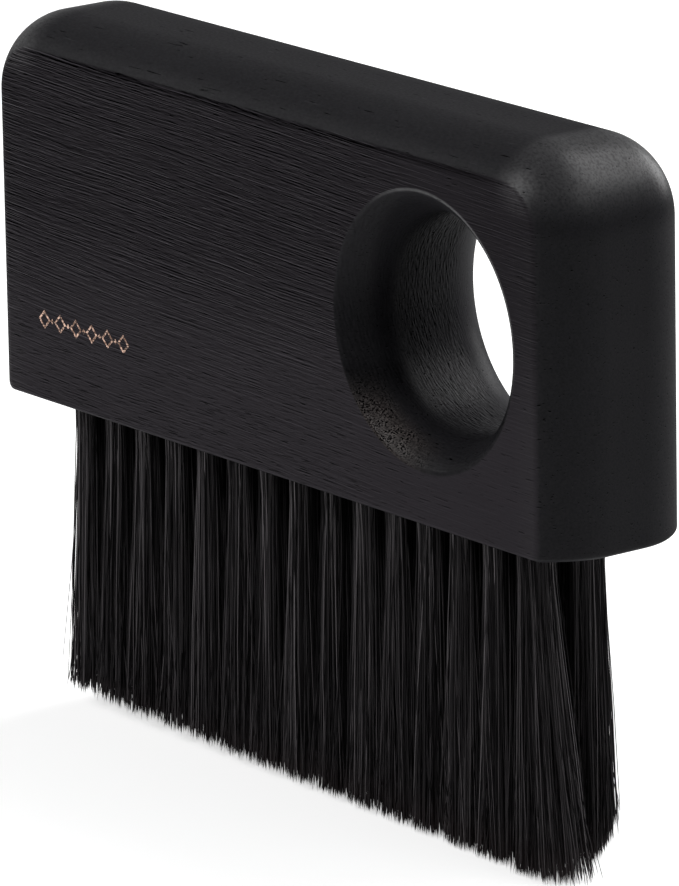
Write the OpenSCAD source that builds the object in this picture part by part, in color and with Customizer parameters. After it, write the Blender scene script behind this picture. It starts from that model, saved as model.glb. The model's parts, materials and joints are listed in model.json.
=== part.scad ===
// Barista bench brush: a hardwood block with a flared finger hole and two rows
// of staple-set bristle tufts. Millimetres. X runs along the block, Y from its
// front face to its back face, and the longest bristle tips stand on z = 0.

/* [Block] */
// Length of the wooden block
block_l = 140; // [132:1:200]
// Thickness of the block, from front face to back face
block_t = 26; // [24:0.5:28]
// Height of the block above the bristles
block_h = 60; // [56:1:90]
// Radius of the two top corners, seen from the front
corner_r = 12.5; // [12:0.5:20]
// Radius of the round-over along the ends and the top
edge_r = 11.5; // [11:0.25:12]
// Width of the flat band left along the middle of the ends and the top
edge_band = 7; // [5:0.5:8]

/* [Finger hole] */
// Distance of the finger hole from the middle of the block
hole_x = 39; // [30:0.5:42]
// Height of the finger hole's centre above the underside of the block
hole_z = 29.2; // [28:0.2:33]
// Diameter of the finger hole's throat
throat_d = 33.4; // [28:0.2:34.4]
// Length of the straight wall in the throat
throat_l = 8.8; // [7.6:0.2:11]
// Radius of the flare from the throat out to each face
flare_r = 11; // [10.4:0.1:14]

/* [Bores] */
// Number of tufts in each row
tuft_count = 15; // [6:1:15]
// Distance between neighbouring bores along a row
bore_pitch = 7.74; // [7.2:0.02:8.2]
// Distance between the two rows of bores
row_gap = 9.2; // [8:0.1:12]
// Diameter of each bore for a tuft
bore_d = 6.2; // [4:0.1:6.6]
// Depth of each bore
bore_depth = 10; // [7:0.5:11]

/* [Bristles] */
// Length of the longest bristles below the block
bristle_l = 50; // [30:1:70]
// How much shorter the bristles are at the plain end than at the hole end
trim_rise = 3; // [0:0.5:8]
// How far a tuft's tip spreads forwards or backwards past its bore
tip_spread = 1; // [0:0.1:2]
// How far the last tufts lean outwards at their tips
end_lean = 0.8; // [0:0.1:3]
// Width of the dark line between neighbouring tufts at their tips
tip_gap = 0.14; // [0.1:0.02:0.6]
// Depth of the grooves between the bundled bristles at the tips
groove = 0.35; // [0:0.05:0.6]
// Unevenness of the trimmed tips
ragged = 1.1; // [0:0.1:2.5]

/* [Anchors] */
// Height of the flat wire anchor that holds a folded tuft
anchor_h = 2; // [1:0.1:3]
// Thickness of the anchor wire
anchor_t = 0.5; // [0.3:0.05:0.8]
// Depth of folded bristle above each anchor
fold_h = 1.2; // [0.8:0.1:2]

/* [Hidden] */
// Clearance between a tuft and its bore, and around an anchor
fit = 0.05;
// Extra length of a cutting tool past the surface that it cuts
over = 1;
// Points around a tuft, two for each groove
tuft_sides = 22;
// Heights of a tuft's rings below the block, from its bore's mouth to its tips
ring_steps = [0, 0.12, 0.3, 0.5, 0.7, 0.88, 1];
// Power of the curve by which a tuft opens out
flare_power = 1.3;
// Squareness of a tuft's tip: 1 is round, and less is squarer
tip_power = 0.6;
$fn = 96;

root_r = bore_d / 2 - fit;
side_z = block_h - corner_r;
band_y = edge_band / 2;
row_end = (tuft_count - 1) / 2;
tip_pitch = bore_pitch + end_lean / max(row_end, 1);
tip_half_w = (tip_pitch - tip_gap) / 2;
tip_inner = (row_gap - tip_gap) / 2;
tip_outer = root_r + tip_spread;
run_half = row_end * tip_pitch + tip_half_w;
bore_top = bristle_l + bore_depth;
anchor_l = 2 * root_r;

// Place along X of tuft n, counted from the plain end
function bore_x(n) = (n - 1 - row_end) * bore_pitch;

// Height of the trimmed tips at a place along X
function trim_z(x) = trim_rise * (run_half - x) / (2 * run_half);

// An uneven but repeatable value from 0 to 1
function uneven(a, b) = abs(sin(a * 78.233 + b * 129.898) * 4375.85) % 1;

// Sine or cosine pulled towards a square
function squared(v, power) = sign(v) * pow(abs(v), power);

// Section across an edge of the block: x runs outwards to the edge, y across the thickness
module edge_section(reach) {
    intersection() {
        translate([0, -block_t / 2]) square([reach, block_t]);
        union() {
            translate([0, -block_t / 2]) square([reach - edge_r, block_t]);
            translate([0, -band_y]) square([reach, edge_band]);
            for (y = [-band_y, band_y]) translate([reach - edge_r, y]) circle(r = edge_r);
        }
    }
}

// Middle of the block, with the round-over along its top
module block_middle() {
    span = block_l - 2 * corner_r;
    translate([-span / 2, -block_t / 2, 0]) cube([span, block_t, side_z]);
    translate([span / 2, 0, side_z])
        rotate([0, -90, 0])
            linear_extrude(span) edge_section(corner_r);
}

// One end of the block below its corner, with the round-over up its edge
module block_end() {
    translate([block_l / 2 - corner_r, 0, 0])
        linear_extrude(side_z) edge_section(corner_r);
}

// One top corner, the same round-over turned about the corner's centre
module block_corner() {
    translate([block_l / 2 - corner_r, 0, side_z])
        rotate([90, 0, 0])
            rotate_extrude(angle = 90) edge_section(corner_r);
}

// The finger hole as a solid to cut away: a straight throat that flares to both faces
module finger_hole_cut() {
    reach = throat_d / 2 + flare_r;
    half = block_t / 2 + over;
    translate([hole_x, 0, hole_z])
        rotate([90, 0, 0])
            rotate_extrude()
                difference() {
                    translate([0, -half]) square([reach, 2 * half]);
                    translate([throat_d / 2, -throat_l / 2]) square([flare_r + over, throat_l]);
                    for (y = [-throat_l / 2, throat_l / 2]) translate([reach, y]) circle(r = flare_r);
                }
}

// Every bore for a tuft, drilled into the underside
module tuft_bores() {
    for (n = [1 : tuft_count], y = [-row_gap / 2, row_gap / 2])
        translate([bore_x(n), y, -over]) cylinder(d = bore_d, h = bore_depth + over);
}

module wood_block() {
    color([0.1, 0.095, 0.1])
        translate([0, 0, bristle_l])
            difference() {
                union() {
                    block_middle();
                    for (side = [0, 1]) mirror([side, 0, 0]) {
                        block_end();
                        block_corner();
                    }
                }
                finger_hole_cut();
                tuft_bores();
            }
}

// One point on a ring of a front tuft. The ring is at step s from the bore's mouth
// (0) to the tips (1), and seed makes each tuft's tips uneven in their own way.
function tuft_point(n, seed, s, i) =
    let (
        a = 360 * i / tuft_sides,
        open = pow(s, flare_power),
        power = 1 - (1 - tip_power) * open,
        inset = 1 - (i % 2) * groove * open / root_r,
        half_w = root_r + (tip_half_w - root_r) * open,
        half_y = root_r + ((sin(a) > 0 ? tip_inner : tip_outer) - root_r) * open,
        lean = (tip_pitch - bore_pitch) * (n - 1 - row_end) * open,
        x = bore_x(n) + lean + half_w * inset * squared(cos(a), power),
        y = -row_gap / 2 + half_y * inset * squared(sin(a), power),
        tip_z = trim_z(x) + ragged * uneven(seed, i)
    )
    [x, y, bristle_l - s * (bristle_l - tip_z)];

// A point on the axis of a tuft at its tips, a little above the trimmed edge
function tip_centre(n) =
    let (x = (n - 1 - row_end) * tip_pitch)
    [x, -row_gap / 2, trim_z(x) + ragged / 2];

// A bundle of bristles as one closed skin: a round root, grooves that open out, and uneven tips
module bundle(n, seed) {
    sides = tuft_sides;
    top = bore_top - fit;
    root = [for (i = [0 : sides - 1])
        [bore_x(n) + root_r * cos(360 * i / sides), -row_gap / 2 + root_r * sin(360 * i / sides), top]];
    rings = [for (s = ring_steps, i = [0 : sides - 1]) tuft_point(n, seed, s, i)];
    last = len(ring_steps) * sides;
    points = concat(root, rings, [tip_centre(n)]);
    crown = [[for (i = [sides - 1 : -1 : 0]) i]];
    walls = [for (k = [0 : len(ring_steps) - 1], i = [0 : sides - 1], half = [0, 1])
        let (a = k * sides + i, b = k * sides + (i + 1) % sides)
        half == 0 ? [a, b, a + sides] : [b, b + sides, a + sides]];
    tips = [for (i = [0 : sides - 1]) [last + i, last + (i + 1) % sides, last + sides]];
    polyhedron(points, concat(crown, walls, tips));
}

// A front tuft, folded round its anchor
module folded_tuft(n, seed) {
    color([0.07, 0.07, 0.075])
        difference() {
            bundle(n, seed);
            translate([bore_x(n), -row_gap / 2, bore_top - fold_h - anchor_h / 2])
                cube([anchor_t + 2 * fit, bore_d + over, anchor_h + 2 * fit], center = true);
        }
}

module front_tuft(n) {
    folded_tuft(n, n);
}

module back_tuft(n) {
    mirror([0, 1, 0]) folded_tuft(n, n + tuft_count);
}

// One flat wire anchor in each bore, across the grain
module tuft_anchors() {
    color([0.75, 0.72, 0.62])
        for (n = [1 : tuft_count], y = [-row_gap / 2, row_gap / 2])
            translate([bore_x(n), y, bore_top - fold_h - anchor_h / 2])
                cube([anchor_t, anchor_l, anchor_h], center = true);
}

wood_block();
tuft_anchors();
for (n = [1 : tuft_count]) {
    front_tuft(n);
    back_tuft(n);
}
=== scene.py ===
# A barista's bench brush: a black-stained hardwood block with a flared finger hole, and
# two rows of black bristle tufts set in bores in its underside. Lengths are in metres, and
# in millimetres inside the materials. X runs along the block towards the finger hole, Y
# from its front face to its back face, and Z up from the tips.
import json
import math

import bpy
import numpy as np
from mathutils import Matrix, Vector
from mathutils.geometry import delaunay_2d_cdt


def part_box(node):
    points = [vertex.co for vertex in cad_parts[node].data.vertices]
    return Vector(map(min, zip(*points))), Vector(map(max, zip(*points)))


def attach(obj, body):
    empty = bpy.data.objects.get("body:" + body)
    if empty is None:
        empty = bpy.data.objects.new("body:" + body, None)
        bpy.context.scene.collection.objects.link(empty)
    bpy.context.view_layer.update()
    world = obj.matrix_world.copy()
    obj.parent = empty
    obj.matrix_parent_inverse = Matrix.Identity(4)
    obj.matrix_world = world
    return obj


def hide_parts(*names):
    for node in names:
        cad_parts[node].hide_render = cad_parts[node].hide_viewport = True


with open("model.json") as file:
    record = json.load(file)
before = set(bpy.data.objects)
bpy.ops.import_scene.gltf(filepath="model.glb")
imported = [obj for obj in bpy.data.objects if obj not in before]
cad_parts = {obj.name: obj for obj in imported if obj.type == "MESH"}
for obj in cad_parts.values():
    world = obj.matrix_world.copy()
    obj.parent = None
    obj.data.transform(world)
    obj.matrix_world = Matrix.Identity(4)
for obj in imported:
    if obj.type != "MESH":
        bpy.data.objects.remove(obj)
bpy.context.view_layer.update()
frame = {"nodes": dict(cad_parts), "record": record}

MM = 0.001
BODY = "root"

# The block, read from the frame
block_low, block_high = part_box("wood_block")
HALF_L = (block_high.x - block_low.x) / 2
HALF_T = (block_high.y - block_low.y) / 2
UNDER_Z = block_low.z
TOP_Z = block_high.z

# Round-overs of the block
CORNER_R = 12.5 * MM
EDGE_R = 11.5 * MM
BAND_Y = 3.5 * MM
HEEL_R = 1.3 * MM
TOP_CREASE_DROP = EDGE_R - math.sqrt(EDGE_R ** 2 - (HALF_T - BAND_Y) ** 2)

# Small radii that sanding leaves on the edges
END_SOFTENING = 3.0 * MM
TOP_SOFTENING = 1.2 * MM
UNDER_SOFTENING = 0.6 * MM
MOUTH_SOFTENING = 1.4 * MM

# Finger hole
hole = next(m for m in frame["record"]["mounts"] if m["name"] == "finger_hole")
HOLE_X = hole["pos_m"][0]
HOLE_Z = hole["pos_m"][2]
THROAT_R = hole["dims"]["r_mm"] * MM
THROAT_HALF = hole["dims"]["length_mm"] * MM / 2
FLARE_R = 11 * MM

# Bores, and the tufts in them
TUFTS = 15
BORE_PITCH = 7.74 * MM
ROW_Y = 4.6 * MM
BORE_R = 3.1 * MM
BORE_DEPTH = 10 * MM
TIP_PITCH = 7.854 * MM
TIP_HALF_W = 3.857 * MM
TIP_INNER = 4.53 * MM
TIP_OUTER = 4.05 * MM
TRIM_RISE = 3 * MM
RUN_HALF = 58.84 * MM
ANCHOR_HALF = 0.25 * MM


def new_object(name, mesh, material):
    piece = bpy.data.objects.new(name, mesh)
    bpy.context.scene.collection.objects.link(piece)
    mesh.materials.append(material)
    return piece


def smoothstep(t):
    return t * t * (3 - 2 * t)


# Node helpers
def add_node(tree, kind, **values):
    node = tree.nodes.new(kind)
    for key, value in values.items():
        setattr(node, key, value)
    return node


def feed(tree, socket, value):
    """Links a node's output into a socket, or writes a plain value on it."""
    if isinstance(value, bpy.types.NodeSocket):
        tree.links.new(value, socket)
    else:
        socket.default_value = value


def math_node(tree, operation, a, b=None, c=None, clamp=False):
    node = add_node(tree, "ShaderNodeMath", operation=operation, use_clamp=clamp)
    for socket, value in zip(node.inputs, (a, b, c)):
        if value is not None:
            feed(tree, socket, value)
    return node.outputs[0]


def times(tree, *values):
    result = values[0]
    for value in values[1:]:
        result = math_node(tree, "MULTIPLY", result, value)
    return result


def plus(tree, *values):
    result = values[0]
    for value in values[1:]:
        result = math_node(tree, "ADD", result, value)
    return result


def minus(tree, a, b):
    return math_node(tree, "SUBTRACT", a, b)


def inverse(tree, mask):
    return minus(tree, 1.0, mask)


def absolute(tree, value):
    return math_node(tree, "ABSOLUTE", value)


def between(tree, mask, at_zero, at_one):
    """A value that follows a mask in a straight line."""
    return math_node(tree, "MULTIPLY_ADD", mask, at_one - at_zero, at_zero)


def map_range(tree, value, low, high, to_low=0.0, to_high=1.0):
    """A smooth step from one value to another while value goes from low to high."""
    node = add_node(tree, "ShaderNodeMapRange", interpolation_type="SMOOTHSTEP")
    for socket, v in zip(node.inputs, (value, low, high, to_low, to_high)):
        feed(tree, socket, v)
    return node.outputs[0]


def vector_node(tree, operation, a, b=None):
    node = add_node(tree, "ShaderNodeVectorMath", operation=operation)
    feed(tree, node.inputs[0], a)
    if b is not None:
        feed(tree, node.inputs[1], b)
    return node


def stretched(tree, vector, x, y, z):
    return vector_node(tree, "MULTIPLY", vector, (x, y, z)).outputs["Vector"]


def parts(tree, vector):
    node = add_node(tree, "ShaderNodeSeparateXYZ")
    feed(tree, node.inputs[0], vector)
    return node.outputs


def joined(tree, x, y, z):
    node = add_node(tree, "ShaderNodeCombineXYZ")
    for socket, value in zip(node.inputs, (x, y, z)):
        feed(tree, socket, value)
    return node.outputs[0]


def noise(tree, vector, detail, roughness=0.5, distortion=0.0):
    """Noise whose largest cells are one unit wide, so the vector is stretched to suit."""
    node = add_node(tree, "ShaderNodeTexNoise")
    for key, value in (("Vector", vector), ("Scale", 1.0), ("Detail", detail),
                       ("Roughness", roughness), ("Distortion", distortion)):
        feed(tree, node.inputs[key], value)
    return node.outputs["Fac"]


def mix_colour(tree, factor, a, b):
    node = add_node(tree, "ShaderNodeMix", data_type="RGBA")
    feed(tree, node.inputs[0], factor)
    feed(tree, node.inputs[6], a)
    feed(tree, node.inputs[7], b)
    return node.outputs[2]


def new_group(name, inputs, outputs):
    """A shader node group with named sockets; returns its tree, input and output nodes."""
    tree = bpy.data.node_groups.new(name, "ShaderNodeTree")
    for key, kind, default in inputs:
        socket = tree.interface.new_socket(key, in_out="INPUT", socket_type=kind)
        socket.default_value = default
    for key in outputs:
        tree.interface.new_socket(key, in_out="OUTPUT", socket_type="NodeSocketFloat")
    return tree, tree.nodes.new("NodeGroupInput"), tree.nodes.new("NodeGroupOutput")


def place_group(tree, group, **values):
    node = add_node(tree, "ShaderNodeGroup", node_tree=group)
    for key, value in values.items():
        feed(tree, node.inputs[key], value)
    return node.outputs


def new_material(name):
    material = bpy.data.materials.new(name)
    material.use_nodes = True
    tree = material.node_tree
    return material, tree, tree.nodes["Principled BSDF"]


def place_in_mm(tree):
    """Where a point is on the object, in millimetres."""
    place = add_node(tree, "ShaderNodeTexCoord").outputs["Object"]
    return stretched(tree, place, 1 / MM, 1 / MM, 1 / MM)


def bump(tree, shader, height, distance):
    node = add_node(tree, "ShaderNodeBump")
    node.inputs["Distance"].default_value = distance
    feed(tree, node.inputs["Height"], height)
    tree.links.new(node.outputs[0], shader.inputs["Normal"])


# Node groups; each takes a place in millimetres
PLACE = ("Place", "NodeSocketVector", (0, 0, 0))

# Raised lines of the grain: half width of a crest, and where the painted shade under it starts and
# ends
CREST_HALF = 0.07
SHADE_START = 0.08
SHADE_END = 0.24
SHADE_DROP = 0.04

# Spacing of the long and the short lines, and how much weaker the short ones are
LONG_SPACING = 0.83
SHORT_SPACING = 0.57
SHORT_SHARE = 0.7

# Fall of the grain along the block, and how much steeper the short lines run
GRAIN_FALL = 0.036
SHORT_TURN = -0.006

# Fibres to a millimetre of height
FIBRES_PER_MM = 5.0


def raised_line_set(tree, x, level, spacing, seed):
    """Thin straight lines along the grain: bright crests from 0 to 1, and a painted shade under
    each.
    """
    slow = joined(tree, times(tree, x, 0.007), seed, times(tree, level, 0.3))
    drift = times(tree, noise(tree, slow, 1.0), 2.0)
    count = plus(tree, times(tree, level, 1 / spacing), drift)
    number = math_node(tree, "ROUND", count)
    away = times(tree, minus(tree, count, number), spacing)
    below = plus(tree, away, SHADE_DROP)
    crest = map_range(tree, absolute(tree, away), 0.0, CREST_HALF, 1, 0)
    shade = map_range(tree, absolute(tree, below), SHADE_START, SHADE_END, 1, 0)

    # Each line comes and goes along its length
    along = joined(tree, times(tree, x, 0.08), times(tree, number, 3.7), seed)
    share = map_range(tree, noise(tree, along, 3.0, 0.65), 0.42, 0.62, 0.05, 1)
    return times(tree, crest, share), times(tree, shade, share)


def fibres(tree, x, y, level):
    """Fine light and dark fibres that even out over a short height."""
    here = noise(tree, joined(tree, x, y, level), 0.0)
    below = noise(tree, joined(tree, x, y, plus(tree, level, 1.0)), 0.0)
    return minus(tree, here, below)


def brushed_grain():
    """Fibres raised by brushing: bright Crests, painted Shades under them, and a fine Hatch."""
    tree, given, out = new_group("brushed_grain", [PLACE], ["Crests", "Shades", "Hatch"])
    place = given.outputs["Place"]
    x, y, z = parts(tree, place)
    wander = noise(tree, stretched(tree, place, 0.018, 0.02, 0.03), 1.0)
    waves = noise(tree, stretched(tree, place, 0.07, 0.1, 0.16), 1.0)
    level = plus(tree, z, times(tree, x, GRAIN_FALL), times(tree, wander, 2.0),
                 times(tree, waves, 0.3))
    turned_level = plus(tree, level, times(tree, x, SHORT_TURN))
    long_crest, long_shade = raised_line_set(tree, x, level, LONG_SPACING, 2.0)
    short_crest, short_shade = raised_line_set(tree, x, turned_level, SHORT_SPACING, 7.0)
    crests = plus(tree, long_crest, times(tree, short_crest, SHORT_SHARE))
    shades = plus(tree, long_shade, times(tree, short_shade, SHORT_SHARE))

    across = times(tree, y, 0.3)
    fibre_level = times(tree, level, FIBRES_PER_MM)
    long_fibres = fibres(tree, times(tree, x, 0.07), across, fibre_level)
    short_fibres = fibres(tree, times(tree, x, 0.45), across, fibre_level)
    hatch = plus(tree, times(tree, long_fibres, 1.6), times(tree, short_fibres, 1.25))
    for name, value in (("Crests", crests), ("Shades", shades), ("Hatch", hatch)):
        tree.links.new(value, out.inputs[name])
    return tree


def open_pores():
    """Cut vessels of the wood, short dashes along the grain; Amount is from 0 to 1."""
    tree, given, out = new_group("open_pores", [PLACE, ("Amount", "NodeSocketFloat", 0.5)],
                                 ["Pores"])
    vessel_place = stretched(tree, given.outputs["Place"], 0.25, 2.4, 4.6)
    vessels = noise(tree, vessel_place, 1.5, 0.5, 0.4)
    edge = between(tree, given.outputs["Amount"], 0.73, 0.59)
    tree.links.new(map_range(tree, vessels, edge, plus(tree, edge, 0.04)), out.inputs["Pores"])
    return tree


def turning_marks():
    """Fine rings and pits that a cutter leaves round the finger hole; Place starts on its
    axis."""
    tree, given, out = new_group("turning_marks", [PLACE], ["Marks", "Pits"])
    x, y, z = parts(tree, given.outputs["Place"])
    round_the_axis = vector_node(tree, "NORMALIZE", joined(tree, x, 0.0, z))
    cx, _, cz = parts(tree, round_the_axis.outputs["Vector"])
    ring_level = times(tree, plus(tree, y, times(tree, z, 0.12)), 4.6)
    marks = fibres(tree, times(tree, cx, 12.0), times(tree, cz, 12.0), ring_level)
    pit_place = joined(tree, times(tree, cx, 16.0), times(tree, y, 4.5), times(tree, cz, 16.0))
    pits = map_range(tree, noise(tree, pit_place, 1.0, 0.6), 0.6, 0.7)
    tree.links.new(times(tree, marks, 2.7), out.inputs["Marks"])
    tree.links.new(pits, out.inputs["Pits"])
    return tree


def mottle():
    """Slow and fine unevenness of a finish."""
    tree, given, out = new_group("mottle", [PLACE], ["Slow", "Fine"])
    place = given.outputs["Place"]
    slow = noise(tree, stretched(tree, place, 0.05, 0.09, 0.09), 3.0)
    fine = noise(tree, stretched(tree, place, 1.6, 3.0, 3.0), 2.0)
    tree.links.new(slow, out.inputs["Slow"])
    tree.links.new(fine, out.inputs["Fine"])
    return tree


# Stained wood: the stain where it is lightest, on smooth, brushed and thumbed wood
BLACK = (0, 0, 0, 1)
SMOOTH_STAIN = (0.0460, 0.0452, 0.0508, 1)
BRUSHED_STAIN = (0.0505, 0.0432, 0.0535, 1)
THUMBED_STAIN = (0.060, 0.044, 0.036, 1)
STAIN_ROUGHNESS = 0.55
COAT_ROUGHNESS = 0.36

# How far each effect stands out of the wood, as shares of the relief's height
RELIEF_HEIGHT = 0.1 * MM
RELIEF = {"crests": 1.2, "hatch": 0.7, "marks": 1.0, "pores": -1.4, "pits": -0.8, "speckle": 0.5}

# How much lighter or darker each effect makes the stain, against a tone of 1. The shades are
# painted shade under the crests, and the pore lips are painted light.
EFFECT_TONES = {
    "face_tone": 1.0, "crests": 4.8, "shades": -0.42, "hatch": 1.0, "marks": 1.0,
    "pores": -0.75, "painted_pore_lip_light": 0.35, "pits": -0.5, "speckle": 1.2, "slow": 0.2,
}

# The same for each area. Painted shade darkens the fold in the hole, the crease and the turns of
# the ends. Painted light brightens the far side and the foot of the front flare, the flare is
# painted lighter above the axis and darker below it, and the bottom rim is lighter for edge
# wear and painted light together.
AREA_TONES = {
    "fold": -0.42, "painted_far_side_light": 0.7, "throat_foot": 0.15, "painted_flare_foot_highlight": 0.27,
    "thumb_ground": 1.0, "painted_upper_flare_light": 1.0, "crease": -0.45, "end": -0.03,
    "painted_end_turn_shade": -0.12, "rim_wear_and_light": 0.65,
}

# Share of pores everywhere, and how much more of them each area shows. The painted light on
# the lip of a pore is a little below it.
PORE_SHARE = 0.1
AREA_PORES = {"hole": 0.08, "smooth": 0.07, "end": 0.14}
PORE_LIP_DROP = 0.2

# Satin coat everywhere, and how much more of it each area shows
SATIN_COAT = 0.36
CORNER_COAT = 1.44
AREA_COATS = {"throat": 0.24, "thumb_rest": 0.24, "lip": 1.4, "end": 0.2}


def sum_of(tree, masks, gains):
    """Adds up the masks that gains names, each times its gain."""
    return plus(tree, *(times(tree, masks[name], gain) for name, gain in gains.items()))


def hole_masks(tree, y, from_axis):
    """Masks in the finger hole, by name; y and from_axis are in millimetres."""
    mouth = hole_profile()[0][1] / MM
    throat_half = THROAT_HALF / MM
    ax, _, az = parts(tree, from_axis)
    flat_place = joined(tree, ax, 0.0, az)
    radius = vector_node(tree, "LENGTH", flat_place).outputs["Value"]
    down = times(tree, az, -MM / THROAT_R)
    in_hole = map_range(tree, radius, mouth - 0.4, mouth, 1, 0)
    past_throat = map_range(tree, absolute(tree, y), throat_half, throat_half + 3)
    flare = times(tree, in_hole, past_throat)
    return {
        "hole": in_hole,
        "throat": minus(tree, in_hole, flare),
        # The part of the throat where the cutter's marks show
        "turned": times(tree, in_hole, map_range(tree, y, -6, -0.5),
                        map_range(tree, y, 5, 8, 1, 0)),
        "throat_foot": times(tree, in_hole, map_range(tree, y, -6, -2),
                             map_range(tree, down, 0.3, 0.9)),
        # Painted shade in the fold between the front flare and the throat, and painted light on
        # the far flare
        "fold": times(tree, in_hole, map_range(tree, y, -8.5, -4),
                      map_range(tree, y, -5, 5, 1, 0)),
        "painted_far_side_light": times(tree, in_hole, map_range(tree, y, 4, 8)),
        # The place low on the front flare that a thumb rubs, and the wood round it
        "thumb_rest": times(tree, flare, map_range(tree, down, 0.5, 0.95),
                            map_range(tree, y, -8.0, -11.2), map_range(tree, ax, -9, 3, 1, 0)),
        "thumb_ground": times(tree, flare, map_range(tree, down, 0.4, 0.6),
                              map_range(tree, down, 0.55, 0.95, -0.24, 0.1)),
        # Painted light and shade: the flare lighter above the axis and darker below it
        "painted_upper_flare_light": times(tree, flare, map_range(tree, az, -4, 12, -0.3, 0.4)),
        # Painted highlight low on the front flare, strongest on its side towards the plain end
        "painted_flare_foot_highlight": times(tree, flare, map_range(tree, down, 0.6, 1.0),
                            map_range(tree, ax, -10, 6, 1, 0.45),
                            map_range(tree, y, -6.5, -10)),
        # The thin light edge of the mouth, up and to the right
        "lip": times(tree, map_range(tree, radius, mouth - 0.7, mouth - 0.4),
                     map_range(tree, radius, mouth - 0.2, mouth, 1, 0),
                     map_range(tree, plus(tree, az, times(tree, ax, 0.7)), 6, 18)),
    }


def outside_masks(tree, place, in_hole):
    """Masks on the outside of the block, by name; place is in millimetres."""
    half_t = HALF_T / MM
    crease = (TOP_Z - TOP_CREASE_DROP) / MM
    under = UNDER_Z / MM
    x, y, z = parts(tree, place)
    depth = absolute(tree, y)
    out_x = absolute(tree, x)
    on_face = map_range(tree, depth, half_t - 0.35, half_t - 0.01)
    brushed = times(tree, on_face, inverse(tree, in_hole))
    return {
        "brushed": brushed,
        "smooth": inverse(tree, brushed),
        "end": times(tree, map_range(tree, out_x, 59, 64), map_range(tree, z, 96, 101, 1, 0)),
        # Painted shade where the ends turn into the front and back faces
        "painted_end_turn_shade": times(tree, map_range(tree, out_x, 59, 64), map_range(tree, depth, 5, 11)),
        "corner": times(tree, map_range(tree, out_x, 55, 62), map_range(tree, z, 99, 105.5)),
        # Painted shade along the top of a face where it turns into the round-over
        "crease": times(tree, on_face, map_range(tree, z, crease - 1.3, crease - 0.2),
                        map_range(tree, out_x, 48, 62, 1, 0)),
        # A lighter bottom rim: edge wear, and painted light from the floor
        "rim_wear_and_light": map_range(tree, z, under + 0.3, under + 0.7, 1, 0),
    }


def face_grain(tree, groups, place, brushed, slow):
    """The effects of the brushed faces, by name. Long raised lines fade into short dashes
    towards the underside and the hole."""
    x, _, z = parts(tree, place)
    rise = plus(tree, z, -UNDER_Z / MM, times(tree, x, -0.07), times(tree, slow, 14))
    lined = map_range(tree, rise, 10, 25)
    calm = times(tree, brushed, map_range(tree, x, 12, 46, 1, 0.3))
    strength = times(tree, calm, between(tree, lined, 0.28, 1.0))
    up_the_face = between(tree, map_range(tree, rise, 11, 37), 0.28, -0.17)
    beside_hole = map_range(tree, x, 12, 42, 0, 0.03)
    grain = place_group(tree, groups["grain"], Place=place)
    return {
        "crests": times(tree, grain["Crests"], strength),
        "shades": times(tree, grain["Shades"], strength),
        "hatch": times(tree, grain["Hatch"], calm, between(tree, lined, 0.51, 0.90)),
        "dashes": times(tree, calm, between(tree, lined, 0.70, 0.14)),
        "face_tone": times(tree, brushed, plus(tree, up_the_face, beside_hole)),
    }


def thumb_speckle(tree, place, thumb_rest):
    """Light and dark specks where a thumb has rubbed, stronger in some places."""
    specks = noise(tree, stretched(tree, place, 3.5, 3.5, 5.0), 2.0, 0.6)
    rubs = noise(tree, stretched(tree, place, 0.5, 0.5, 1.1), 1.0)
    return times(tree, thumb_rest, map_range(tree, rubs, 0.38, 0.58, 0.35, 1),
                 map_range(tree, specks, 0.36, 0.62, -1.2, 1))


def wood_effects(tree, groups, place, from_axis, masks, slow):
    """Every effect of the stained wood, by name."""
    effects = face_grain(tree, groups, place, masks["brushed"], slow)
    amount = plus(tree, effects["dashes"], PORE_SHARE, sum_of(tree, masks, AREA_PORES))
    # Pores, and painted light on the lip a little below each
    above = vector_node(tree, "ADD", place, (0, 0, PORE_LIP_DROP)).outputs["Vector"]
    for name, spot in (("pores", place), ("painted_pore_lip_light", above)):
        effects[name] = place_group(tree, groups["pores"], Place=spot, Amount=amount)["Pores"]
    turned = place_group(tree, groups["turning"], Place=from_axis)
    mark_strength = between(tree, masks["turned"], 0.12, 0.60)
    effects["marks"] = times(tree, turned["Marks"], mark_strength, masks["hole"])
    effects["pits"] = times(tree, turned["Pits"], masks["turned"])
    effects["speckle"] = thumb_speckle(tree, place, masks["thumb_rest"])
    effects["slow"] = slow
    return effects


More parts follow.
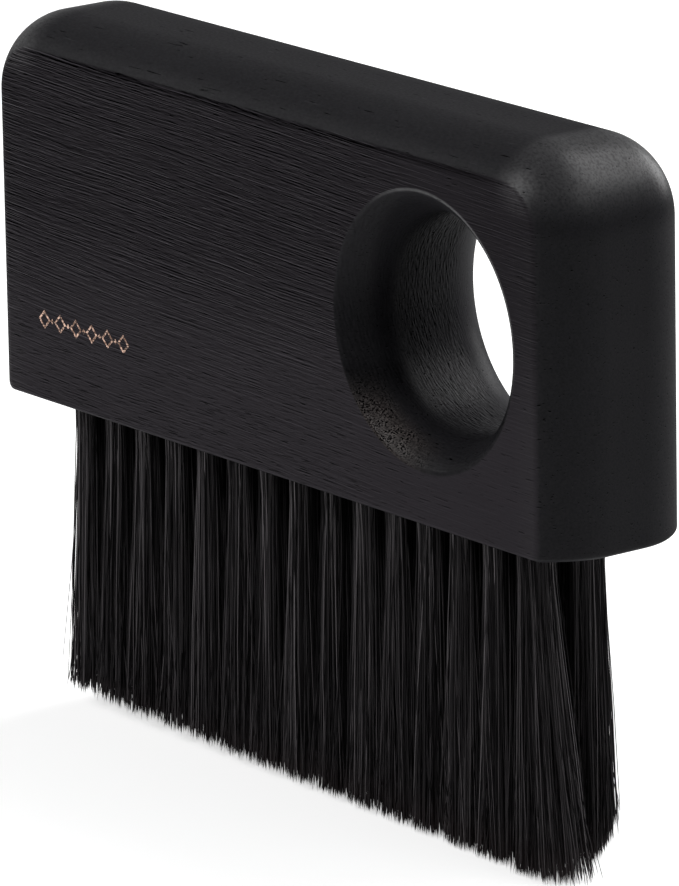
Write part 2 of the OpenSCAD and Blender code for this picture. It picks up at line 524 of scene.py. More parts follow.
def stained_wood(groups):
    material, tree, shader = new_material("stained_wood")
    place = place_in_mm(tree)
    hole_axis = (HOLE_X / MM, 0, HOLE_Z / MM)
    from_axis = vector_node(tree, "SUBTRACT", place, hole_axis).outputs["Vector"]
    masks = hole_masks(tree, parts(tree, place)[1], from_axis)
    masks.update(outside_masks(tree, place, masks["hole"]))
    brushed = masks["brushed"]

    uneven = place_group(tree, groups["mottle"], Place=place)
    slow = plus(tree, uneven["Slow"], -0.5)
    fine = plus(tree, uneven["Fine"], -0.5)
    effects = wood_effects(tree, groups, place, from_axis, masks, slow)
    bump(tree, shader, sum_of(tree, effects, RELIEF), RELIEF_HEIGHT)
    tone = plus(tree, 1.0, sum_of(tree, effects, EFFECT_TONES), sum_of(tree, masks, AREA_TONES),
                times(tree, fine, between(tree, brushed, 0.75, 0.25)))

    # The brightest crests reach a tone of 4, so a quarter of it fits a mix of 0 to 1
    quarter = math_node(tree, "MULTIPLY", tone, 0.25, clamp=True)
    tint = mix_colour(tree, brushed, SMOOTH_STAIN, BRUSHED_STAIN)
    stain = mix_colour(tree, quarter, BLACK, tint)
    thumbed = times(tree, masks["thumb_rest"], quarter)
    feed(tree, shader.inputs["Base Color"], mix_colour(tree, thumbed, stain, THUMBED_STAIN))

    patchy = map_range(tree, uneven["Fine"], 0.36, 0.5, 0.75, 1.0)
    coat = plus(tree, SATIN_COAT, times(tree, masks["corner"], patchy, CORNER_COAT),
                sum_of(tree, masks, AREA_COATS))
    feed(tree, shader.inputs["Coat Weight"],
         math_node(tree, "MULTIPLY", quarter, coat, clamp=True))
    shader.inputs["Roughness"].default_value = STAIN_ROUGHNESS
    shader.inputs["Specular IOR Level"].default_value = 0.0
    shader.inputs["Coat Roughness"].default_value = COAT_ROUGHNESS
    return material


# Bristles, from the darkest to the lightest, and where their tips are worn
BRISTLE_DARK = (0.0068, 0.0062, 0.0068, 1)
BRISTLE_LIGHT = (0.083, 0.0745, 0.080, 1)
BRISTLE_WORN = (0.034, 0.0255, 0.0262, 1)


def bristle_black():
    material, tree, shader = new_material("bristle")
    tone = add_node(tree, "ShaderNodeAttribute", attribute_name="bristle_tone").outputs["Fac"]
    # Painted shade between the tufts, kept on each point, darkens the colour and the coat
    light = add_node(tree, "ShaderNodeAttribute", attribute_name="bristle_painted_light").outputs["Fac"]
    height = parts(tree, place_in_mm(tree))[2]
    worn = map_range(tree, height, 0.0, 8.0, 0.6, 0)
    black = mix_colour(tree, tone, BRISTLE_DARK, BRISTLE_LIGHT)
    rubbed = mix_colour(tree, worn, black, BRISTLE_WORN)
    feed(tree, shader.inputs["Base Color"], mix_colour(tree, light, BLACK, rubbed))
    feed(tree, shader.inputs["Coat Weight"],
         times(tree, light, between(tree, tone, 0.04, 0.64)))
    shader.inputs["Roughness"].default_value = 0.45
    shader.inputs["Specular IOR Level"].default_value = 0.0
    shader.inputs["Coat Roughness"].default_value = 0.3
    return material


# Drawn brass wire, dull to bright
WIRE_DULL = (0.42, 0.36, 0.22, 1)
WIRE_BRIGHT = (0.72, 0.66, 0.46, 1)


def anchor_metal(groups):
    material, tree, shader = new_material("anchor_wire")
    fine = place_group(tree, groups["mottle"], Place=place_in_mm(tree))["Fine"]
    feed(tree, shader.inputs["Base Color"], mix_colour(tree, fine, WIRE_DULL, WIRE_BRIGHT))
    feed(tree, shader.inputs["Roughness"], map_range(tree, fine, 0.3, 0.7, 0.25, 0.45))
    shader.inputs["Metallic"].default_value = 1.0
    return material


# Copper foil, its dark and light flecks, and the wood where it has rubbed off
COPPER_DARK = (0.13, 0.073, 0.050, 1)
COPPER_LIGHT = (0.62, 0.41, 0.32, 1)
RUBBED_OFF = (0.03, 0.022, 0.02, 1)


def foil_copper(groups):
    """Hot-stamped copper foil, rubbed through on the high fibres of the wood."""
    material, tree, shader = new_material("copper_foil")
    place = place_in_mm(tree)
    hatch = place_group(tree, groups["grain"], Place=place)["Hatch"]
    fine = place_group(tree, groups["mottle"], Place=place)["Fine"]
    left = map_range(tree, plus(tree, times(tree, hatch, 0.15), fine), 0.54, 0.62, 1, 0)
    flecks = map_range(tree, noise(tree, stretched(tree, place, 2.4, 2.4, 2.4), 1.0), 0.38, 0.66)
    copper = mix_colour(tree, flecks, COPPER_DARK, COPPER_LIGHT)
    feed(tree, shader.inputs["Base Color"], mix_colour(tree, left, RUBBED_OFF, copper))
    feed(tree, shader.inputs["Metallic"], left)
    feed(tree, shader.inputs["Roughness"], map_range(tree, left, 0, 1, 0.6, 0.3))
    shader.inputs["Specular IOR Level"].default_value = 0.1
    bump(tree, shader, hatch, 0.03 * MM)
    return material


# The block, and how many steps each curve of its mesh takes
FILLET_STEPS = 6
ARC_STEPS = 14
CORNER_STEPS = 20
HEEL_STEPS = 6
END_STEPS = 3
TOP_STEPS = 7
FLARE_STEPS = 16
LIP_STEPS = 7
HOLE_STEPS = 128
BORE_STEPS = 28
END_START = 4 * MM

# Fill of flat areas: triangles inside the outer loop only, and how near two points merge
FILL_INSIDE = 1
FILL_MERGE = 1e-7


def edge_section(softening):
    """Half a section across the round-over, from the front face to the middle band.
    Rows of (y, inset from the block's reach, angle of the surface away from the edge)."""
    centre_y = HALF_T - softening
    centre_u = math.sqrt((EDGE_R - softening) ** 2 - (centre_y - BAND_Y) ** 2)
    meet = math.atan2(centre_y - BAND_Y, centre_u)
    rows = []
    for a in np.linspace(math.pi / 2, meet, FILLET_STEPS + 1):
        rows.append((-(centre_y + softening * math.sin(a)),
                     EDGE_R - centre_u - softening * math.cos(a), a))
    for a in np.linspace(meet, 0, ARC_STEPS + 1)[1:]:
        rows.append((-(BAND_Y + EDGE_R * math.sin(a)), EDGE_R * (1 - math.cos(a)), a))
    return np.array(rows)


def under_section():
    """The same rows for the edge between the front face and the underside."""
    rows = []
    for a in np.linspace(math.pi / 2, 0, FILLET_STEPS + 1):
        rows.append((-(HALF_T - UNDER_SOFTENING + UNDER_SOFTENING * math.sin(a)),
                     UNDER_SOFTENING * (1 - math.cos(a)), a))
    for y in np.linspace(-(HALF_T - UNDER_SOFTENING), -BAND_Y, ARC_STEPS + 1)[1:]:
        rows.append((y, 0.0, 0.0))
    return np.array(rows)


def whole_section(half):
    """Mirrors half a section to the back face."""
    back = half[::-1] * np.array([-1, 1, -1])
    return np.concatenate([half, back])


def rounded_column(x, z, angle, end, top, share):
    """Points and normals from the front face to the back face over an end, a corner or the
    top, facing out at an angle; share is 0 on the ends and 1 on the top."""
    y, inset, turn = (end + (top - end) * share).T
    out = CORNER_R - inset
    c, n = math.cos(angle), math.sin(angle)
    points = np.column_stack([x + out * c, y, z + out * n])
    normals = np.column_stack([np.cos(turn) * c, -np.sin(turn), np.cos(turn) * n])
    return points, normals


def heel_column(end, under, share):
    """The same over the right heel; share is 0 on the end and 1 on the underside."""
    angle = -share * math.pi / 2
    y = end[:, 0] + (under[:, 0] - end[:, 0]) * share
    x = HALF_L - HEEL_R - end[:, 1] + HEEL_R * math.cos(angle)
    z = UNDER_Z + under[:, 1] + HEEL_R * (1 + math.sin(angle))
    turn = end[:, 2] + (under[:, 2] - end[:, 2]) * share
    normals = np.column_stack([np.cos(turn) * math.cos(angle), -np.sin(turn),
                               np.cos(turn) * math.sin(angle)])
    return np.column_stack([x, y, z]), normals


def block_shell():
    """Points and normals of the block's rounded outside, in columns that each run from the
    front face to the back face. The first column is at the right heel, and the others
    follow up the right end, across the top and down the left end to its heel."""
    end = whole_section(edge_section(END_SOFTENING))
    top = whole_section(edge_section(TOP_SOFTENING))
    under = whole_section(under_section())
    corner_x = HALF_L - CORNER_R
    corner_z = TOP_Z - CORNER_R
    end_heights = np.linspace(UNDER_Z + HEEL_R + END_START, corner_z, END_STEPS + 1)
    right = [heel_column(end, under, 1 - i / HEEL_STEPS) for i in range(HEEL_STEPS + 1)]
    right += [rounded_column(corner_x, z, 0, end, top, 0) for z in end_heights[:-1]]
    for i in range(CORNER_STEPS + 1):
        share = i / CORNER_STEPS
        angle = share * math.pi / 2
        right.append(rounded_column(corner_x, corner_z, angle, end, top, smoothstep(share)))
    right = np.array(right)
    left = right[::-1] * np.array([-1, 1, 1])
    across = np.array([rounded_column(x, corner_z, math.pi / 2, end, top, 1)
                       for x in np.linspace(corner_x, -corner_x, TOP_STEPS + 1)[1:-1]])
    columns = np.concatenate([right, across, left])
    return columns[:, 0], columns[:, 1]


def hole_profile():
    """(y, radius, slope angle) down the finger hole from the front face to the back."""
    centre = THROAT_R + FLARE_R
    soft_y = HALF_T - MOUTH_SOFTENING - THROAT_HALF
    soft_r = math.sqrt((FLARE_R - MOUTH_SOFTENING) ** 2 - soft_y ** 2)
    meet = math.atan2(soft_y, soft_r)
    rows = []
    for a in np.linspace(math.pi / 2, meet, LIP_STEPS + 1)[:-1]:
        rows.append((-(THROAT_HALF + soft_y + MOUTH_SOFTENING * math.sin(a)),
                     centre - soft_r - MOUTH_SOFTENING * math.cos(a), a))
    for a in np.linspace(meet, 0, FLARE_STEPS + 1):
        rows.append((-(THROAT_HALF + FLARE_R * math.sin(a)), centre - FLARE_R * math.cos(a), a))
    rows = np.array(rows)
    return np.concatenate([rows, rows[::-1] * np.array([-1, 1, -1])])


def circle(x, z, radius, steps):
    a = np.arange(steps) * 2 * math.pi / steps
    return np.column_stack([x + radius * np.cos(a), z + radius * np.sin(a)])


class Builder:
    """Collects points and faces, with a normal for each face corner where they are given."""

    def __init__(self):
        self.points, self.faces, self.normals = [], [], []
        self.count = 0

    def add(self, points):
        start = self.count
        self.points.append(np.asarray(points, float))
        self.count += len(points)
        return np.arange(start, self.count)

    def face(self, corners, normals=None):
        self.faces.append([int(c) for c in corners])
        if normals is not None:
            self.normals.extend(tuple(n) for n in normals)

    def band(self, one, other):
        """Plain quads between two loops with as many points."""
        for i in range(len(one)):
            j = (i + 1) % len(one)
            self.face([one[i], one[j], other[j], other[i]])

    def strip(self, grid, normals, closed):
        """Quads between neighbouring rows of a grid; closed joins each row's two ends."""
        rows, columns = grid.shape
        for r in range(rows - 1):
            for c in range(columns if closed else columns - 1):
                d = (c + 1) % columns
                corners = ((r, c), (r, d), (r + 1, d), (r + 1, c))
                self.face([grid[k] for k in corners], [normals[k] for k in corners])

    def flat(self, outer, holes, axes, normal, flip):
        """Fills a flat area inside the loop outer and outside the loops in holes."""
        ids = np.concatenate([outer, *holes])
        where = np.concatenate(self.points)[ids][:, axes] / MM
        edges, start, owner = [], 0, []
        for k, loop in enumerate([outer, *holes]):
            n = len(loop)
            edges += [(start + i, start + (i + 1) % n) for i in range(n)]
            owner += [k] * n
            start += n
        flat_points = [Vector((a, b)) for a, b in where]
        triangles = delaunay_2d_cdt(flat_points, edges, [], FILL_INSIDE, FILL_MERGE)[2]
        for triangle in triangles:
            loops = {owner[i] for i in triangle}
            if len(loops) == 1 and loops != {0}:
                continue
            corners = [ids[i] for i in triangle]
            self.face(corners[::-1] if flip else corners, [normal] * 3)

    def mesh(self, name):
        data = bpy.data.meshes.new(name)
        data.from_pydata(np.concatenate(self.points).tolist(), [], self.faces)
        if self.normals:
            data.polygons.foreach_set("use_smooth", [True] * len(data.polygons))
            data.normals_split_custom_set(self.normals)
        data.update()
        return data


def add_finger_hole(build):
    """The wall of the finger hole; returns its first and last ring."""
    angles = np.arange(HOLE_STEPS) * 2 * math.pi / HOLE_STEPS
    points, normals = [], []
    profile = hole_profile()
    for y, radius, slope in profile:
        points.append(np.column_stack([HOLE_X + radius * np.cos(angles),
                                       np.full(HOLE_STEPS, y),
                                       HOLE_Z + radius * np.sin(angles)]))
        normals.append(np.column_stack([-np.cos(slope) * np.cos(angles),
                                        np.full(HOLE_STEPS, -math.sin(slope)),
                                        -np.cos(slope) * np.sin(angles)]))
    ids = build.add(np.concatenate(points)).reshape(len(profile), HOLE_STEPS)
    build.strip(ids, np.array(normals), closed=True)
    return ids[0], ids[-1]


def add_bore(build, x, y):
    """One blind bore in the underside; returns the ring of its mouth."""
    ring = circle(x, y, BORE_R, BORE_STEPS)
    inward = np.column_stack([(x - ring[:, 0]) / BORE_R, (y - ring[:, 1]) / BORE_R,
                              np.zeros(BORE_STEPS)])
    z = np.full(BORE_STEPS, UNDER_Z)
    mouth = build.add(np.column_stack([ring, z]))
    crown = build.add(np.column_stack([ring, z + BORE_DEPTH]))
    build.strip(np.array([crown, mouth]), np.array([inward, inward]), closed=True)
    build.face(crown[::-1], [(0, 0, -1)] * BORE_STEPS)
    return mouth


def block_mesh():
    build = Builder()
    points, normals = block_shell()
    columns, rings = points.shape[:2]
    ids = build.add(points.reshape(-1, 3)).reshape(columns, rings)
    build.strip(ids, normals, closed=False)

    # Along the underside the first and last columns join over the softened edges only
    left, right = ids[-1], ids[0]
    for k in [*range(FILLET_STEPS), *range(rings - 1 - FILLET_STEPS, rings - 1)]:
        n = [normals[-1, k], normals[-1, k + 1], normals[0, k + 1], normals[0, k]]
        build.face([left[k], left[k + 1], right[k + 1], right[k]], n)

    # Front and back faces, with the finger hole through both
    front_mouth, back_mouth = add_finger_hole(build)
    build.flat(ids[:, 0], [front_mouth], [0, 2], (0, -1, 0), flip=False)
    build.flat(ids[:, -1], [back_mouth], [0, 2], (0, 1, 0), flip=True)

    # Underside with its bores
    bore_mouths = [add_bore(build, (n - (TUFTS - 1) / 2) * BORE_PITCH, row * ROW_Y)
                   for row in (-1, 1) for n in range(TUFTS)]
    inner = slice(FILLET_STEPS, rings - FILLET_STEPS)
    outer = np.concatenate([right[inner], left[inner][::-1]])
    build.flat(outer, bore_mouths, [0, 1], (0, 0, -1), flip=True)
    return build.mesh("wood_block_mesh")


def make_block(material):
    block = new_object("block", block_mesh(), material)
    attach(block, BODY)
    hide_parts("wood_block")


# The foil ornament on the front face, a plain band of lozenges with studs between them
MARK_START = -56.6 * MM
MARK_Z = 13.05 * MM
MARK_COUNT = 6
MARK_PITCH = 4.07 * MM
LOZENGE_HALF = 1.5 * MM
LOZENGE_STROKE = 0.48 * MM
STUD_HALF = 0.42 * MM
FOIL_FRONT = -HALF_T - 0.03 * MM
FOIL_BACK = -HALF_T + 0.05 * MM


def lozenge(build, x, z, half, y):
    return build.add([(x - half, y, z), (x, y, z - half), (x + half, y, z), (x, y, z + half)])


def lozenge_ring(build, x, z):
    """A hollow lozenge: front, inner wall, back and outer wall, each a ring of four faces."""
    inner = LOZENGE_HALF - LOZENGE_STROKE
    loops = [lozenge(build, x, z, half, y) for half, y in (
        (LOZENGE_HALF, FOIL_FRONT), (inner, FOIL_FRONT), (inner, FOIL_BACK),
        (LOZENGE_HALF, FOIL_BACK))]
    for k in range(4):
        build.band(loops[k], loops[(k + 1) % 4])


def stud(build, x, z):
    """A small solid lozenge."""
    front = lozenge(build, x, z, STUD_HALF, FOIL_FRONT)
    back = lozenge(build, x, z, STUD_HALF, FOIL_BACK)
    build.face(front)
    build.face(back[::-1])
    build.band(back, front)


def make_foil_mark(material):
    build = Builder()
    z = UNDER_Z + MARK_Z
    for k in range(MARK_COUNT):
        x = MARK_START + LOZENGE_HALF + k * MARK_PITCH
        lozenge_ring(build, x, z)
        if k < MARK_COUNT - 1:
            stud(build, x + MARK_PITCH / 2, z)
    mark = new_object("foil_mark", build.mesh("foil_mark_mesh"), material)
    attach(mark, BODY)


# One tuft: how many bristles it has, their radius, and how much that varies
BRISTLES = 800
BRISTLE_R = 0.078 * MM
THINNEST = 0.85
THICKEST = 1.15
BRISTLE_SIDES = 3
STREAK_POWER = 3
SEED = 41

# Clearances in the bore: from its wall, from the anchor, and from the bore's end
WALL_CLEARANCE = 0.06 * MM
ANCHOR_CLEARANCE = 0.07 * MM
CROWN_CLEARANCE = 0.1 * MM
ROOT_REACH = BORE_R - WALL_CLEARANCE - BRISTLE_R

# How the bristles spread: unevenness round the tuft, squareness of the tip, how many cross
# over or stray, and how far
TURN_SCATTER = 0.15
TIP_POWER = 0.75
CROSSING_SHARE = 0.45
SCATTER = 0.65 * MM
STRAY_SHARE = 0.05
STRAY_REACH = 1.8 * MM
BOW = 0.3 * MM
OPENING_POWER = 1.4

# The last front tufts lean to the hole end and forwards, and the very last one fans out
LEANING_TUFTS = 3
LEAN = np.array([1.1, -1.0]) * MM
FAN_SHIFT = 1.2 * MM
FAN_SPREAD = 3.4 * MM
FAN_LIMIT = 1.3
FAN_FORWARD = 0.4 * MM
DRAWN_IN = 1.2 * MM

# Trim of the tips: its unevenness, more so at the plain end, and the short bristles
TRIM_SCATTER = 0.2 * MM
TRIM_WEAR = 0.42 * MM
PLAIN_END_WEAR = 1.4
SHORT_BRISTLES = 0.07
SHORT_LEAST = 0.4 * MM
SHORT_MOST = 4 * MM
TRIM_OFFSET = 0.95 * MM
LOWEST_TIP = 0.04 * MM
WORN_EDGE = 13 * MM
WORN_EDGE_LEAST = 0.5
WORN_EDGE_POWER = 1.6

# Stations of a bristle below the block, as shares of its length, and the tuft's waist there
STATIONS = (0.0, 0.12, 0.32, 0.62, 0.98, 1.0)
WAIST = (1.0, 0.93, 0.95, 1.0, 1.0, 1.0)

# Width of a bristle at its rings, and how much it takes light as one rounded bundle does
RING_WIDTHS = (1, 1, 1, 1, 1, 0.7)
BUNDLE_ROUNDNESS = (0.0, 1.3, 1.2, 0.9, 0.6, 0.4)


# Painted shade between neighbouring tufts: where it starts between a tuft's middle (0) and its
# side (1), how far it takes to deepen, how far down the tufts it reaches, and how dark it is
GAP_START = 0.45
GAP_FADE = 0.4
GAP_DEPTH = 0.52
GAP_DARK = 0.94

# Painted shade between the two rows: where it starts, how far it takes to deepen towards the
# other row, how dark it is at the top, and how much less dark at the tips
INNER_START = 0.35
INNER_FADE = 0.9
INNER_DARK = 0.75
INNER_LIFT = 0.45


def squared(values, power):
    return np.sign(values) * np.abs(values) ** power


def tip_places(n, row, free, ratio, turn, rng):
    """Where the tips stand round the tuft's axis, and how far out each is to a free end."""
    across = np.where(np.sin(turn) * row < 0, TIP_INNER, TIP_OUTER)
    tip = np.column_stack([TIP_HALF_W * ratio * squared(np.cos(turn), TIP_POWER),
                           across * ratio * squared(np.sin(turn), TIP_POWER)])

    # The tip's place follows the root's, but many bristles cross to another's place
    crossing = np.flatnonzero(rng.random(BRISTLES) < CROSSING_SHARE)
    tip[crossing] = tip[rng.permutation(crossing)]
    tip += rng.normal(0, SCATTER, (BRISTLES, 2))
    if row < 0:
        tip[:, 1] = np.clip(tip[:, 1], -TIP_OUTER, TIP_INNER)
    stray = rng.random(BRISTLES) < STRAY_SHARE
    tip[stray, 0] += rng.normal(0, STRAY_REACH, stray.sum())

    # At the hole end the front row opens out, and the back row draws in behind it
    outward = np.clip(tip[:, 0] * free / TIP_HALF_W, 0, FAN_LIMIT)
    if row < 0:
        tip += LEAN * min(max((n - TUFTS + LEANING_TUFTS) / LEANING_TUFTS, 0), 1)
    if row < 0 and free > 0:
        tip[:, 0] += FAN_SHIFT + FAN_SPREAD * outward
        tip[:, 1] -= FAN_FORWARD
    elif row > 0 and free > 0:
        tip[:, 1] -= DRAWN_IN * np.clip(tip[:, 1] / TIP_OUTER, 0, 1)
    return tip, outward


def fold_places(mouth):
    """In the bore each bristle stands beside its anchor."""
    side = np.where(mouth[:, 0] < 0, -1, 1)
    clear = ANCHOR_HALF + ANCHOR_CLEARANCE + BRISTLE_R
    fold = mouth.copy()
    fold[:, 0] = side * (clear + np.abs(mouth[:, 0]) * (BORE_R - clear) / BORE_R)
    fold *= np.minimum(1, ROOT_REACH / np.hypot(*fold.T))[:, None]
    return fold


def tip_heights(tip_x, worn_edge, rng):
    """Heights of the trimmed tips; worn_edge is 1 at a tuft's outer corner at the hole end."""
    trim = TRIM_RISE * (RUN_HALF - tip_x) / (2 * RUN_HALF)
    wear = 1 + PLAIN_END_WEAR * smoothstep(np.clip(-tip_x / RUN_HALF, 0, 1))
    ragged = wear * (np.abs(rng.normal(0, TRIM_SCATTER, BRISTLES))
                     + rng.exponential(TRIM_WEAR, BRISTLES))
    short = rng.random(BRISTLES) < SHORT_BRISTLES
    ragged[short] += rng.uniform(SHORT_LEAST, SHORT_MOST, short.sum())
    if worn_edge is not None:
        ragged += (WORN_EDGE * np.clip(worn_edge, 0, 1) ** WORN_EDGE_POWER
                   * rng.uniform(WORN_EDGE_LEAST, 1, BRISTLES))
    return np.maximum(trim + ragged - TRIM_OFFSET, LOWEST_TIP)


def bristle_paths(n, row, free, rng):
    """Paths of one tuft's bristles from root to tip, and each one's place in its bore (-1..1)."""
    # Roots on a spiral, a golden angle apart, fill the bore evenly
    k = np.arange(BRISTLES)
    ratio = np.sqrt((k + 0.5) / BRISTLES)
    turn = k * math.pi * (3 - math.sqrt(5))
    turn = turn + rng.uniform(-TURN_SCATTER, TURN_SCATTER, BRISTLES)
    root_r = ROOT_REACH * ratio
    mouth = np.column_stack([root_r * np.cos(turn), root_r * np.sin(turn)])
    fold = fold_places(mouth)
    tip, outward = tip_places(n, row, free, ratio, turn, rng)
    bow = rng.normal(0, BOW, (BRISTLES, 2))

    place = n - 1 - (TUFTS - 1) / 2
    root_axis = np.array([place * BORE_PITCH, row * ROW_Y])
    tip_axis = np.array([place * TIP_PITCH, row * ROW_Y])
    worn_edge = (outward + tip[:, 1] / TIP_OUTER) / 2 if row > 0 and free > 0 else None
    tip_z = tip_heights(tip_axis[0] + tip[:, 0], worn_edge, rng)

    paths = np.zeros((BRISTLES, len(STATIONS) + 1, 3))
    paths[:, 0, :2] = root_axis + fold
    paths[:, 0, 2] = UNDER_Z + BORE_DEPTH - CROWN_CLEARANCE
    for i, (s, waist) in enumerate(zip(STATIONS, WAIST), start=1):
        opening = s ** OPENING_POWER
        axis = root_axis + (tip_axis - root_axis) * opening
        spread = (mouth + (tip - mouth) * opening) * waist
        paths[:, i, :2] = axis + spread + bow * math.sin(math.pi * s)
        paths[:, i, 2] = UNDER_Z + (tip_z - UNDER_Z) * s
    return paths, mouth / BORE_R


def painted_crevice_light(paths, where, row, free):
    """Painted shade on each station of each bristle, as a share of light: 1 outside, less between
    tufts.
    """
    down = np.clip((UNDER_Z - paths[:, :, 2]) / UNDER_Z, 0, 1)
    beside = np.where(where[:, 0] * free > 0, 0, np.abs(where[:, 0]))
    gap = smoothstep(np.clip((beside - GAP_START) / GAP_FADE, 0, 1))[:, None]
    gap = gap * (1 - smoothstep(np.clip(down / GAP_DEPTH, 0, 1))) * GAP_DARK
    inner = smoothstep(np.clip((INNER_START - where[:, 1] * row) / INNER_FADE, 0, 1))
    inner = inner * (1 - smoothstep(np.clip(where[:, 0] * free + 0.5, 0, 1)))
    inner = inner[:, None] * (INNER_DARK - INNER_LIFT * down)
    return (1 - gap) * (1 - inner)


def one_bristle_faces(rings):
    """Faces of one bristle: a closed root, its rings, and a point."""
    sides = BRISTLE_SIDES
    last = (rings - 1) * sides
    faces = [list(range(sides))]
    for r in range(rings - 1):
        for i in range(sides):
            j = (i + 1) % sides
            faces.append([(r + 1) * sides + i, (r + 1) * sides + j, r * sides + j, r * sides + i])
    faces += [[last + sides, last + (i + 1) % sides, last + i] for i in range(sides)]
    return faces


def bristle_mesh(name, paths, where, light, rng):
    """Bristles with pointed tips, as one mesh with a tone for each bristle."""
    sides = BRISTLE_SIDES
    rings = len(RING_WIDTHS)
    per = rings * sides + 1
    a = rng.uniform(0, 2 * math.pi, BRISTLES)[:, None] + np.arange(sides) * 2 * math.pi / sides
    offset = np.stack([np.cos(a), np.sin(a), np.zeros_like(a)], -1)
    thickness = rng.uniform(THINNEST, THICKEST, BRISTLES)[:, None]
    width = BRISTLE_R * thickness * np.array(RING_WIDTHS)
    body = paths[:, :rings, None, :] + offset[:, None] * width[:, :, None, None]
    points = np.concatenate([body.reshape(BRISTLES, -1, 3), paths[:, -1:, :]], 1)
    one = one_bristle_faces(rings)
    faces = [[start + i for i in f] for start in range(0, BRISTLES * per, per) for f in one]
    mesh = bpy.data.meshes.new(name)
    mesh.from_pydata(points.reshape(-1, 3).tolist(), [], faces)
    mesh.polygons.foreach_set("use_smooth", [True] * len(mesh.polygons))

    # The skin of a tuft takes light as one rounded bundle does, and less so towards the tips
    outward = np.column_stack([where, np.zeros(BRISTLES)])
    bundle = np.array(BUNDLE_ROUNDNESS)[None, :, None] * outward[:, None]
    normals = np.zeros((BRISTLES, per, 3))
    normals[:, :-1] = (offset[:, None] + bundle[:, :, None]).reshape(BRISTLES, -1, 3)
    normals[:, -1] = outward + np.array([0, 0, -0.5])
    normals /= np.linalg.norm(normals, axis=2, keepdims=True)
    mesh.normals_split_custom_set_from_vertices(normals.reshape(-1, 3).tolist())

    # A random tone for each bristle, and the painted shade between tufts at its rings
    streak = np.repeat(rng.random(BRISTLES) ** STREAK_POWER, per)
    shade = np.concatenate([np.repeat(light[:, :rings], sides, axis=1), light[:, -1:]], 1)
    for key, values in (("bristle_tone", streak), ("bristle_painted_light", shade.reshape(-1))):
        attribute = mesh.attributes.new(key, "FLOAT", "POINT")
        attribute.data.foreach_set("value", values.astype(np.float32))
    mesh.update()
    return mesh


def make_tufts(material):
    for row, side in (("front", -1), ("back", 1)):
        for n in range(1, TUFTS + 1):
            rng = np.random.default_rng([SEED, n, side + 1])
            name = f"{row}_bristles_{n}"
            free = {1: -1, TUFTS: 1}.get(n, 0)
            paths, where = bristle_paths(n, side, free, rng)
            # Painted shade between the tufts and between the rows
            light = painted_crevice_light(paths, where, side, free)
            tuft = new_object(name, bristle_mesh(name, paths, where, light, rng), material)
            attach(tuft, BODY)
            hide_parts(f"{row}_tuft_{n}")


def finish_anchors(material):
    anchors = frame["nodes"]["tuft_anchors"].data.materials
    anchors.clear()
    anchors.append(material)


# Camera, at the photograph's place
CAMERA_AZIMUTH = math.radians(52.535)
CAMERA_ELEVATION = math.radians(15.198)
CAMERA_ROLL = math.radians(-1.001)
CAMERA_DISTANCE = 1322.664 * MM
CAMERA_ASIDE = -1.5402 * MM
CAMERA_RAISED = 26.7294 * MM
CAMERA_LOOKS_AT = Vector((0, 0, 0.080))
PHOTO_HEIGHT = 886
FOCAL_PIXELS = 8871.5
SENSOR = 36.0


def make_camera():
    ca, sa = math.cos(CAMERA_AZIMUTH), math.sin(CAMERA_AZIMUTH)
    ce, se = math.cos(CAMERA_ELEVATION), math.sin(CAMERA_ELEVATION)
    back = Vector((sa * ce, -ca * ce, se))
    level = Vector((ca, sa, 0))
    rise = back.cross(level)
    right = level * math.cos(CAMERA_ROLL) + rise * math.sin(CAMERA_ROLL)
    up = rise * math.cos(CAMERA_ROLL) - level * math.sin(CAMERA_ROLL)
    data = bpy.data.cameras.new("camera")
    data.sensor_fit = "VERTICAL"
    data.sensor_height = SENSOR
    data.lens = FOCAL_PIXELS / PHOTO_HEIGHT * SENSOR
    data.clip_start = 0.01
    data.clip_end = 50
    camera = bpy.data.objects.new("camera", data)
    bpy.context.scene.collection.objects.link(camera)
    turned = Matrix((right, up, back)).transposed().to_4x4()
    turned.translation = (CAMERA_LOOKS_AT + back * CAMERA_DISTANCE - right * CAMERA_ASIDE
                          - up * CAMERA_RAISED)
    camera.matrix_world = turned
    bpy.context.scene.camera = camera


# Lamps: name, azimuth and elevation in degrees, size and power
LAMPS = [
    ("front_softbox", -22, 38, 0.62, 5.4),
    ("back_softbox", 161, 52, 0.68, 6.2),
    ("low_back_softbox", -172, 15, 0.40, 3.0),
    ("end_fill", 106, 42, 0.40, 1.05),
    ("left_strip", -66, 31, 0.26, 0.7),
]
LAMP_DISTANCE = 0.9
LAMP_AIM = Vector((0, 0, 0.06))

# Studio: light from the world, and the floor with the glow that makes it white to the camera
WHITE = (1, 1, 1, 1)
WORLD_LIGHT = 0.06
FLOOR_GREY = (0.8, 0.8, 0.8, 1)
FLOOR_GLOW = 0.55
FLOOR_HALF = 4.0


def make_lamps():
    for name, azimuth, elevation, size, power in LAMPS:
        data = bpy.data.lights.new(name, "AREA")
        data.shape = "SQUARE"
        data.size = size
        data.energy = power
        lamp = bpy.data.objects.new(name, data)
        bpy.context.scene.collection.objects.link(lamp)
        a, e = math.radians(azimuth), math.radians(elevation)
        away = Vector((math.sin(a) * math.cos(e), -math.cos(a) * math.cos(e), math.sin(e)))
        lamp.location = LAMP_AIM + away * LAMP_DISTANCE
        lamp.rotation_euler = away.to_track_quat("Z", "Y").to_euler()
        lamp.visible_camera = False


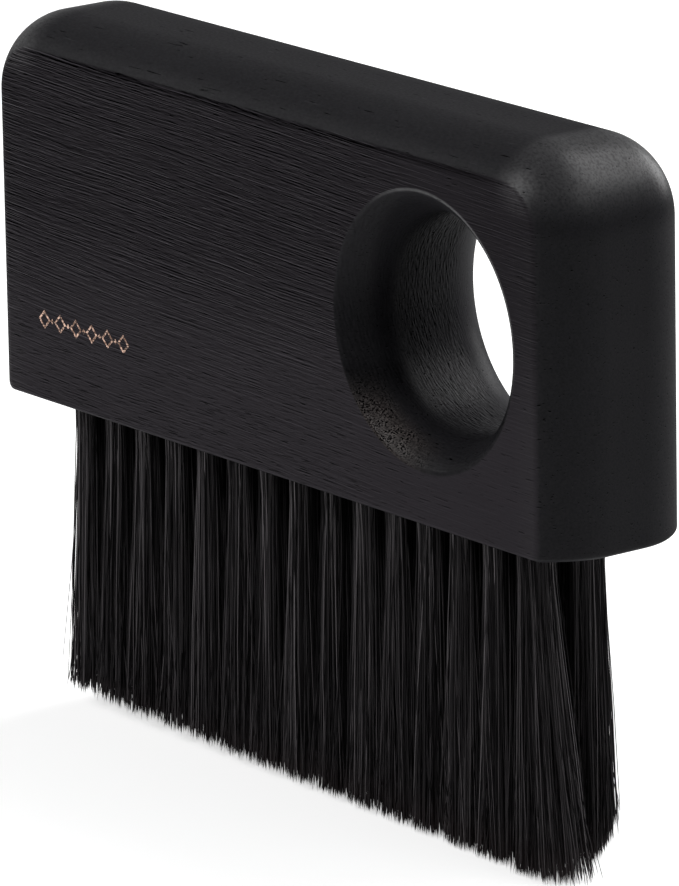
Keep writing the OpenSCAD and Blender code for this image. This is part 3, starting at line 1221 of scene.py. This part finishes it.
def sees_backdrop(tree):
    """1 for rays that see the backdrop directly, in gloss or through glass."""
    path = add_node(tree, "ShaderNodeLightPath")
    seen = math_node(tree, "MAXIMUM", path.outputs["Is Camera Ray"], path.outputs["Is Glossy Ray"])
    return math_node(tree, "MAXIMUM", seen, path.outputs["Is Transmission Ray"])


def white_background(tree, strength):
    node = add_node(tree, "ShaderNodeBackground")
    node.inputs["Color"].default_value = WHITE
    node.inputs["Strength"].default_value = strength
    return node


def make_world():
    world = bpy.data.worlds.new("studio")
    bpy.context.scene.world = world
    world.use_nodes = True
    tree = world.node_tree
    tree.nodes.clear()
    mix = add_node(tree, "ShaderNodeMixShader")
    output = add_node(tree, "ShaderNodeOutputWorld")
    tree.links.new(sees_backdrop(tree), mix.inputs[0])
    tree.links.new(white_background(tree, WORLD_LIGHT).outputs[0], mix.inputs[1])
    tree.links.new(white_background(tree, 1.0).outputs[0], mix.inputs[2])
    tree.links.new(mix.outputs[0], output.inputs[0])


def floor_white():
    material = bpy.data.materials.new("floor_white")
    material.use_nodes = True
    tree = material.node_tree
    tree.nodes.clear()
    matt = add_node(tree, "ShaderNodeBsdfDiffuse")
    matt.inputs["Color"].default_value = FLOOR_GREY
    glow = add_node(tree, "ShaderNodeEmission")
    glow.inputs["Color"].default_value = WHITE
    tree.links.new(times(tree, sees_backdrop(tree), FLOOR_GLOW), glow.inputs["Strength"])
    both = add_node(tree, "ShaderNodeAddShader")
    output = add_node(tree, "ShaderNodeOutputMaterial")
    tree.links.new(matt.outputs[0], both.inputs[0])
    tree.links.new(glow.outputs[0], both.inputs[1])
    tree.links.new(both.outputs[0], output.inputs[0])
    return material


def make_floor():
    h = FLOOR_HALF
    mesh = bpy.data.meshes.new("floor")
    mesh.from_pydata([(-h, -h, 0), (h, -h, 0), (h, h, 0), (-h, h, 0)], [], [(0, 1, 2, 3)])
    floor = new_object("floor", mesh, floor_white())


groups = {"grain": brushed_grain(), "pores": open_pores(), "turning": turning_marks(),
          "mottle": mottle()}
make_block(stained_wood(groups))
make_tufts(bristle_black())
finish_anchors(anchor_metal(groups))
make_foil_mark(foil_copper(groups))
make_camera()
make_lamps()
make_world()
make_floor()
bpy.context.scene.view_settings.view_transform = "Standard"
